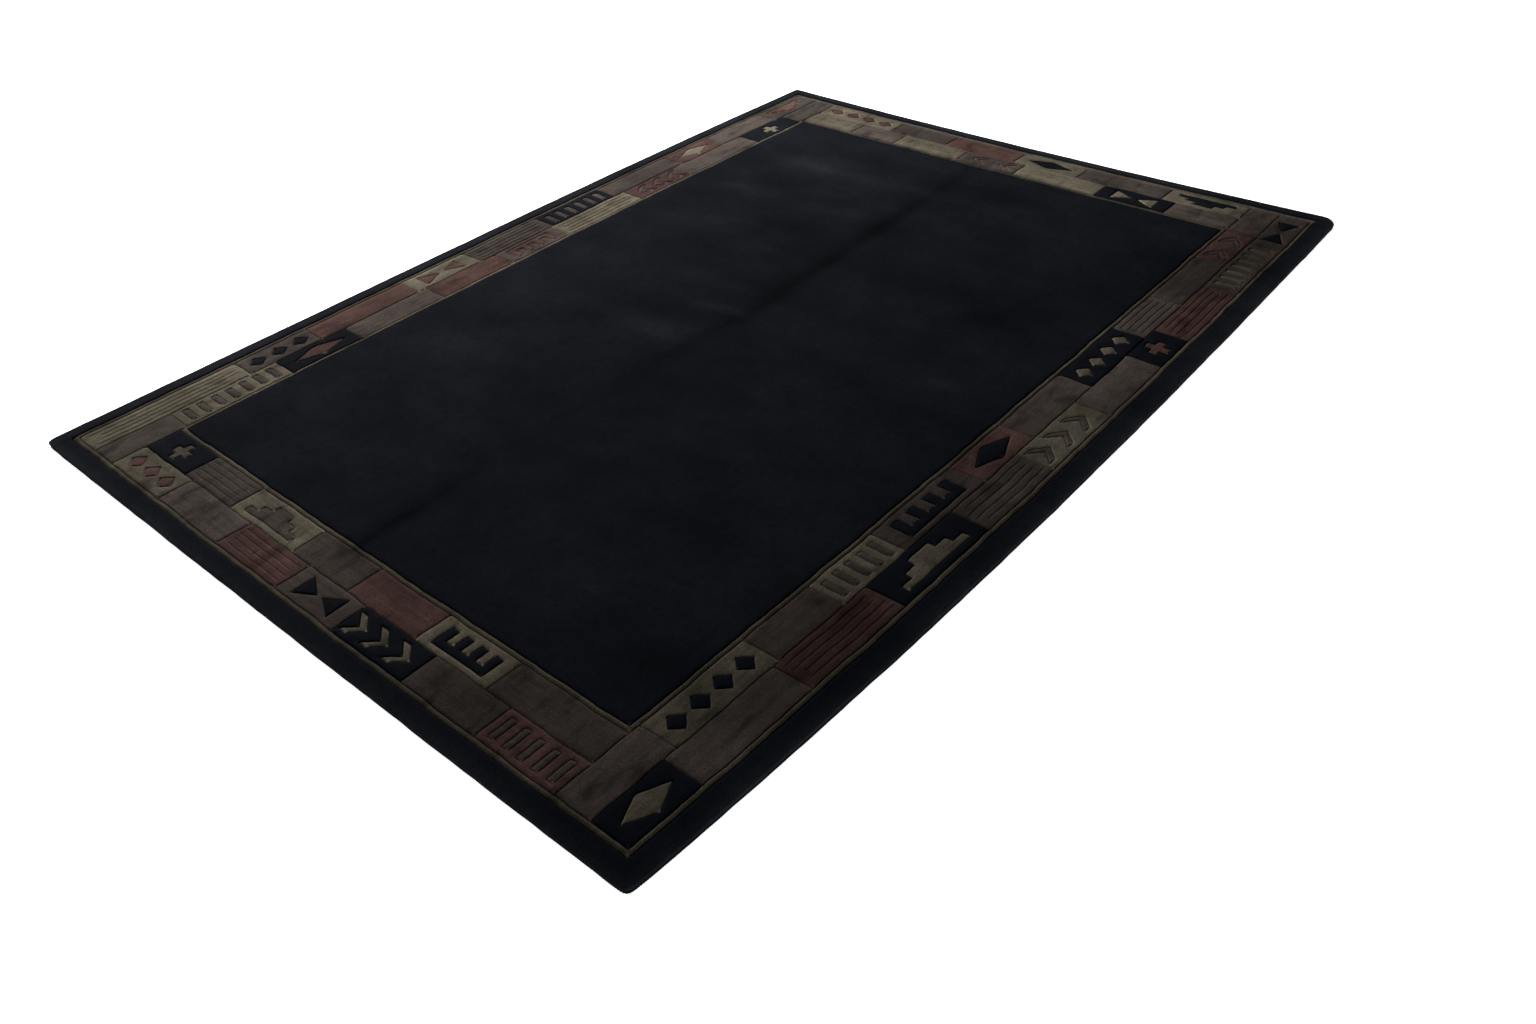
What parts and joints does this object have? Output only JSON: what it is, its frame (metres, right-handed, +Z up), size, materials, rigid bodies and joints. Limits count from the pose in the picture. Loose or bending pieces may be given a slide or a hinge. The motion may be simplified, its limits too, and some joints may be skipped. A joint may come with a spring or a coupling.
{
  "type": "hand-knotted wool rug",
  "caption": "Flat rectangular knotted wool rug with a plain dark field, a carved two-row patchwork border and an overcast edge.",
  "frame": {"origin": "middle of the rug's bounding box on its underside, where it rests on the floor", "axes": "+X along the long side, +Y along the short side, +Z up out of the pile; the side at -Y is the more bowed one"},
  "size_m": [2.4024, 1.7422, 0.0153],
  "materials": {
    "wool_pile": "sheared wool pile, matt with a faint sheen, near-black field with taupe, khaki and dusty rose border yarns"
  },
  "bodies": {
    "root": {"knotted_rug": "wool_pile"}
  },
  "joints": []
}
